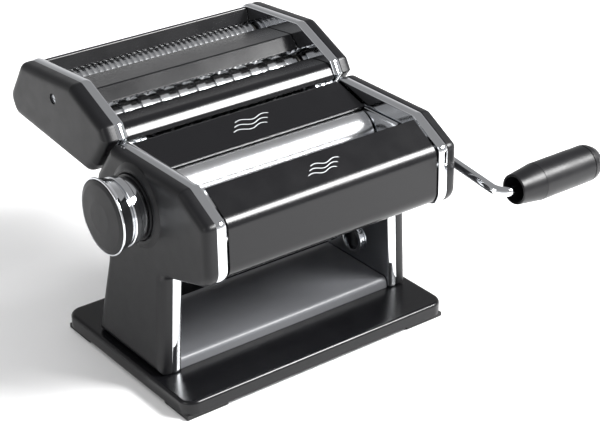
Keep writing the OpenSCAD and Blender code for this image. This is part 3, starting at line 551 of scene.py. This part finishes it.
# %% Smooth rollers
ROLL_X, ROLL_R, JOURNAL, SHAFT = 71.4, 15.0, 9.0, 6.0
SOCKET_X = COVER_X + 0.6
ends_of_barrel = [[-ROLL_X, ROLL_R - 0.5], [-ROLL_X + 0.5, ROLL_R],
                  [ROLL_X - 0.5, ROLL_R], [ROLL_X, ROLL_R - 0.5]]
barrel = [[-85.3, 0], [-85.3, SHAFT], [-ROLL_X, SHAFT], *ends_of_barrel, [ROLL_X, SHAFT],
          [SOCKET_X - 0.3, SHAFT], [SOCKET_X, SHAFT - 0.3], [SOCKET_X, 3.05],
          [SOCKET_X - 15, 3.05], [SOCKET_X - 15, 0]]
verts, faces = turned(barrel, *FRONT, 160)
piece("turned_front_roller", verts, faces, "front_roller", "anodised", ["front_roller"])
tube_r = 6.2
barrel = [[-78.1, tube_r], [-78.1, JOURNAL], [-ROLL_X, JOURNAL], *ends_of_barrel, [ROLL_X, JOURNAL],
          [82.5, JOURNAL], [82.5, tube_r]]
verts, faces = turned(barrel, *REAR, 160)
piece("turned_rear_roller", verts, faces, "rear_roller", "anodised", ["rear_roller"])

# %% [markdown]
# Knob: a turned and plated drum with a waist, a thin bright rim and a domed black cap that is
# pressed into it.

# %% Knob
def out(d):
    """X of a place d millimetres outside the left cover."""
    return -COVER_X - d


drum = soft_profile([[out(3.4), 4, 0], [out(3.4), 17.7, 0.6], [out(8.0), 18.0, 0.4], [out(8.0), 19.9, 0.9],
                     [out(12.2), 20.1, 0.9], [out(12.6), 18.4, 0.5], [out(13.4), 18.4, 0.4], [out(13.9), 19.8, 0.8],
                     [out(18.6), 21.4, 5], [out(20.6), 22.3, 0.5], [out(21.4), 22.1, 0.35], [out(21.4), 21.3, 0.2],
                     [out(20.6), 21.0, 0.1], [out(20.6), 4, 0]], 5)
verts, faces = turned(drum, KNOB_Y, ROLLER_Z, 144)
piece("plated_knob_drum", verts, faces, "knob", "chrome", ["knob_drum"])
dome = soft_profile([[out(20.7), 0, 0], [out(20.7), 20.9, 0.1], [out(21.5), 20.9, 0.6], [out(22.3), 18.5, 4],
                     [out(23.3), 9.0, 14], [out(23.5), 0.5, 0]], 6).tolist() + [[out(23.5), 0]]
verts, faces = turned(dome, KNOB_Y, ROLLER_Z, 144)
piece("domed_knob_cap", verts, faces, "knob", "black_plastic", ["knob_cap"])

# %% [markdown]
# Crank: one round bar bent cold twice, in a plane that hangs a little below level. The grip is
# a hollow moulding with a cone towards the crank and a separate rounded end.

# %% Crank and handle
DROOP = math.radians(7.1)
CRANK_X, ARM, ROD_R, BEND = 97.0, 62.35, 3.0, 8.0
GRIP_X = CRANK_X + 9.4
ROD_END = GRIP_X + 54


def in_crank_plane(x, y, z=0.0):
    """Points of the crank's own plane: along X, along the arm, and out of the plane."""
    c, d = math.cos(DROOP), math.sin(DROOP)
    return np.stack([x, FRONT[0] + y * c - z * d, FRONT[1] + y * d + z * c], -1)


def rod(path, r, n=40):
    """A round bar along a path in the crank's plane, with its ends slightly chamfered."""
    along = unit(np.gradient(path, axis=0))
    a = np.linspace(0, 2 * np.pi, n, endpoint=False)
    size = np.full(len(path), r)
    size[[0, -1]] = r - 0.4
    y = path[:, None, 0] + size[:, None] * np.cos(a) * -along[:, None, 1]
    x = path[:, None, 1] + size[:, None] * np.cos(a) * along[:, None, 0]
    up = size[:, None] * np.sin(a) * np.ones(len(path))[:, None]
    verts = in_crank_plane(y, x, up).reshape(-1, 3)
    faces = strip(0, len(path), n) + [list(range(n)), list(range((len(path) - 1) * n, len(path) * n))]
    return verts, faces


line = rounded([[SOCKET_X - 14.4, 0, 0], [CRANK_X, 0, BEND], [CRANK_X, -ARM, BEND], [ROD_END, -ARM, 0]],
               20, closed=False)
line = np.insert(line, [1, len(line) - 1], [line[0] + [0.4, 0], line[-1] - [0.4, 0]], axis=0)
verts, faces = rod(line, ROD_R)
piece("bent_crank_rod", verts, faces, "crank", "chrome", ["crank_rod"])


def on_handle(profile, n=120):
    verts, faces = turned(profile, 0, 0, n)
    return in_crank_plane(verts[:, 0], verts[:, 1] - ARM, verts[:, 2]), faces


X1 = GRIP_X + 57
grip = soft_profile([[GRIP_X + 12, 3.05, 0], [GRIP_X + 12, 7.0, 0.5], [GRIP_X + 0.6, 7.9, 0.4], [GRIP_X, 8.6, 0.5],
                     [GRIP_X + 1.0, 9.15, 0.5], [GRIP_X + 17, 11.15, 0.25], [GRIP_X + 17.4, 11.3, 0.2],
                     [X1 - 0.4, 11.2, 0.3], [X1, 10.9, 0.2], [X1, 5, 0.1],
                     [ROD_END + 0.5, 3.6, 0.1], [ROD_END + 0.5, 3.05, 0]], 4)
verts, faces = on_handle(grip)
piece("moulded_handle_grip", verts, faces, "handle", "black_plastic", ["handle_grip"])
cap_end = soft_profile([[X1 + 0.1, 0, 0], [X1 + 0.1, 10.9, 0.2], [X1 + 0.5, 11.2, 0.3],
                        [X1 + 3.4, 10.8, 1.0], [X1 + 7.6, 8.7, 1.6],
                        [X1 + 9, 5.4, 2.0], [X1 + 9, 0, 0]], 5)
verts, faces = on_handle(cap_end)
piece("moulded_handle_end", verts, faces, "handle", "black_plastic", ["handle_cap"])

# %% [markdown]
# ## Cutter head
# A second housing that hangs on two rails. It holds two pairs of cutters: discs and grooves
# turned from solid bar, each disc running in the other roller's groove.

# %% Cutter head sides
CUT_Y, CUT_Z = 15.6, HEAD_TOP - 0.2
CF_X, CFL_X = 73.4, 79.5
CUTTER = [[CUT_Y + 15.74, CUT_Z - 18.9, 4], [CUT_Y + 24, CUT_Z - 25.7, 9], [CUT_Y + 107.4, CUT_Z - 18, 8],
          [CUT_Y + 113.9, CUT_Z - 6.5, 9], [CUT_Y + 97.4, CUT_Z + 19, 7], [CUT_Y + 39.6, CUT_Z + 23.5, 6],
          [CUT_Y + 6.5, CUT_Z + 9, 4], [CUT_Y + 1.6, CUT_Z + 0.9, 1.5]]
WIDE = (CUT_Y + 23.2, CUT_Z - 6.8)
FINE = (WIDE[0] + 45, WIDE[1] + 6.2)
PAIRS = [WIDE, (WIDE[0] + 19, WIDE[1]), FINE, (FINE[0] + 19, FINE[1])]
SCREW = (CUT_Y + 59.3, CUT_Z + 8.4)
cover_layers = [(CFL_X + 0.02, 0.35), (CFL_X + 0.12, 0.1), (CFL_X + 0.4, 0)] + round_over(COVER_X, 6.0)
for name, side in (("left", -1), ("right", 1)):
    verts, faces = loft(CUTTER, channel(CF_X, CFL_X, 1.2), [circle(y, z, 7) for y, z in PAIRS], side)
    piece(f"plated_cutter_{name}_frame", verts, faces, "cutter_head", "chrome", [f"cutter_{name}_frame"])
    holes = [circle(*SCREW, 3.2, 40)] + ([circle(*PAIRS[1], 5.6), circle(*PAIRS[3], 5.6)] if side > 0 else [])
    verts, faces = loft(inset(CUTTER, 0.4), cover_layers, holes, side)
    piece(f"moulded_cutter_{name}_cover", verts, faces, "cutter_head", "black_plastic", [f"cutter_{name}_cover"])

# %% Cutter head panels
at = lambda path: [[CUT_Y + y, CUT_Z + z, r] for y, z, r in path]
CUTTER_PANEL_X = 73
panel("folded_cutter_lip", at([[2.7, -1.5, 0], [3.6, 0.9, 2], [8, 6.8, 7], [25, 5.1, 1.4], [26.4, 3.9, 0]]),
      1.2, CUTTER_PANEL_X, "cutter_head", "cutter_lip", 12)
panel("folded_cutter_ridge", at([[38.6, 6.9, 0], [45.9, 14, 1.6], [71.4, 11.1, 0]]),
      1.2, CUTTER_PANEL_X, "cutter_head", "cutter_ridge")
shell = inset(CUTTER, 2.8)
wall_y = FINE[0] + 23.6
panel("folded_cutter_rear_panel", [
    [wall_y - 1.9, FINE[1] + 9.8, 0], [wall_y + 1.2, shell[4][1] + 1.5, 1.4],
    [shell[4][0], shell[4][1] + 1.5, 4], [*shell[3][:2], 8], [*shell[2][:2], 0]],
    1.2, CUTTER_PANEL_X, "cutter_head", "cutter_rear_panel")

# %% Cutters
def cutter(width, shift, socket):
    """Profile of discs and grooves that take turns along the shaft."""
    half, w, low, top, c = 71.0, width / 2 - 0.2, 8.6, 10.0, 0.1
    x = 2 * width * np.arange(-30, 31) + (width if shift else 0)
    x = x[(x + w < half) & (x - w > -half)]
    steps = np.array([[-w, low], [-w, top - c], [-w + c, top], [w - c, top], [w, top - c], [w, low]])
    discs = (np.stack([x, np.zeros_like(x)], -1)[:, None] + steps).reshape(-1, 2).tolist()
    end = SOCKET_X if socket else CF_X + 6
    tail = [[end, 5], [end, 3.05], [end - 15, 3.05], [end - 15, 0]] if socket else [[end, 5], [end, 0]]
    return [[-79.8, 0], [-79.8, 5], [-half, 5], [-half, low], *discs, [half, low], [half, 5], *tail]


CUTTERS = [("wide_cutter_front", 6.5, True, "wide_front"), ("wide_cutter_rear", 6.5, False, "wide_rear"),
           ("fine_cutter_front", 2.0, False, "fine_front"), ("fine_cutter_rear", 2.0, True, "fine_rear")]
for (name, width, shift, body), place in zip(CUTTERS, PAIRS):
    verts, faces = turned(cutter(width, shift, body.endswith("rear")), *place, 96)
    made = piece("turned_" + name, verts, faces, body, "anodised", [name], sharp=30)
    print(made.name, len(made.data.polygons))

# %% [markdown]
# Marks: the maker prints a mark on the rear slope and a name on the front. Both are left out,
# and a plain drawing of three noodle strands is printed in their places.

# %% Printed marks
def strands(name, place, along, up, length, gap, wave, body, width=0.55, count=3):
    """Three wavy printed lines, each a thin ribbon just above the panel's face."""
    t = np.linspace(0, 1, 60)
    n = np.cross(along, up)
    rows, faces = [], []
    for k in range(count):
        u = length * (t - 0.5) + 0.12 * length * (k - 1)
        v = gap * (k - (count - 1) / 2) + wave * np.sin(2 * np.pi * 1.5 * t)
        centre = np.array(place) + u[:, None] * along + v[:, None] * up
        slope = unit(np.gradient(centre, axis=0))
        across = np.cross(n, slope)
        half = 0.5 * width * np.clip(np.minimum(t, 1 - t) * 40, 0.15, 1)[:, None]
        ring = np.stack([centre - half * across, centre + half * across,
                         centre + half * across + 0.05 * n, centre - half * across + 0.05 * n], 1)
        first = sum(len(r) for r in rows)
        rows.append(ring.reshape(-1, 3))
        faces += strip(first, 60, 4) + [[first, first + 1, first + 2, first + 3],
                                        [first + 236 + i for i in range(4)]]
    o = piece(name, np.vstack(rows), faces, body, "black_coat")
    o.data.materials[0] = print_ink
    return o


X_AXIS = np.array([1.0, 0, 0])
hopper = unit(np.array([0, 15.0 - (REAR[0] - 3), (HEAD_TOP - 1.5) - (ROLLER_Z + 17)]))
middle = np.array([0, (15.0 + REAR[0] - 3) / 2, (HEAD_TOP - 1.5 + ROLLER_Z + 17) / 2])
strands("rear_mark", middle + 0.08 * np.cross(X_AXIS, hopper) + 1.0 * hopper,
        X_AXIS, hopper, 24, 3.6, 1.1, "body")
slope_a, slope_b = np.array([head[6][0], head[6][1] - 0.8]), np.array([HEAD_FRONT + 22.8, HEAD_TOP - 1.9])
rise = unit(np.array([0, *(slope_b - slope_a)]))
middle = np.array([0, *(slope_a + 0.58 * (slope_b - slope_a))])
strands("front_mark", middle + 0.08 * np.cross(X_AXIS, rise), X_AXIS, rise, 20, 2.6, 0.8, "body", 0.45)

# %% [markdown]
# ## Studio
# A plain white table, a large soft light above it, and a key softbox at the right front that
# draws the long highlights on the folds. The room is grey and gets darker higher up, so that
# polished metal has something dark to reflect. The overhead light is hidden from reflections.

# %% Floor and lights
def table(half):
    """A flat white table top, half metres to each side."""
    mesh = bpy.data.meshes.new("white_table")
    mesh.from_pydata([(-half, -half, 0), (half, -half, 0), (half, half, 0), (-half, half, 0)], [], [(0, 1, 2, 3)])
    o = bpy.data.objects.new("white_table", mesh)
    bpy.context.scene.collection.objects.link(o)
    return o


paper, t, s = finish("white_paper", "#f4f4f4", 0.0, 0.9)
floor = table(6.0)
floor.data.materials.append(paper)


def soft_light(name, place, aim, width, height, power, colour="#ffffff"):
    data = bpy.data.lights.new(name, "AREA")
    data.shape = "RECTANGLE"
    data.size, data.size_y, data.energy = width, height, power
    data.color = linear(colour)[:3]
    o = bpy.data.objects.new(name, data)
    o.location = place
    o.rotation_mode = "QUATERNION"
    o.rotation_quaternion = (Vector(aim) - Vector(place)).to_track_quat("-Z", "Y")
    bpy.context.scene.collection.objects.link(o)
    return o


key = soft_light("key", (0.95, -0.97, 1.20), (0, 0, 0.1), 0.85, 0.55, 84)
overhead = soft_light("overhead", (0.0, 0.3, 1.6), (0, 0, 0), 2.6, 2.0, 14)
overhead.visible_glossy = False
soft_light("left_fill", (-1.2, -0.25, 0.75), (0, 0, 0.1), 0.5, 0.8, 4)

world = bpy.data.worlds.new("studio")
world.use_nodes = True
t = world.node_tree
sky = add(t, "ShaderNodeSeparateXYZ", [("Vector", add(t, "ShaderNodeTexCoord").outputs["Generated"])])
fade = add(t, "ShaderNodeMapRange", [("Value", sky.outputs["Z"])])
fade.inputs["From Min"].default_value = 0.12
fade.inputs["From Max"].default_value = 0.5
fade.inputs["To Min"].default_value = 0.8
fade.inputs["To Max"].default_value = 0.36
t.links.new(fade.outputs[0], t.nodes["Background"].inputs["Strength"])
t.nodes["Background"].inputs["Color"].default_value = linear("#fbfbfc")
bpy.context.scene.world = world

# %% Camera
camera = bpy.data.objects.new("camera", bpy.data.cameras.new("camera"))
camera.data.sensor_width = 36
camera.data.lens = 100.98
camera.location = Vector((-515.3, -714.3, 529.1)) * MM
camera.rotation_mode = "QUATERNION"
camera.rotation_quaternion = (Vector((20.05, -17.1, 76.0)) * MM - camera.location).to_track_quat("-Z", "Y")
camera.data.clip_start = 0.01
bpy.context.scene.collection.objects.link(camera)
bpy.context.scene.camera = camera
bpy.context.scene.view_settings.view_transform = "Standard"
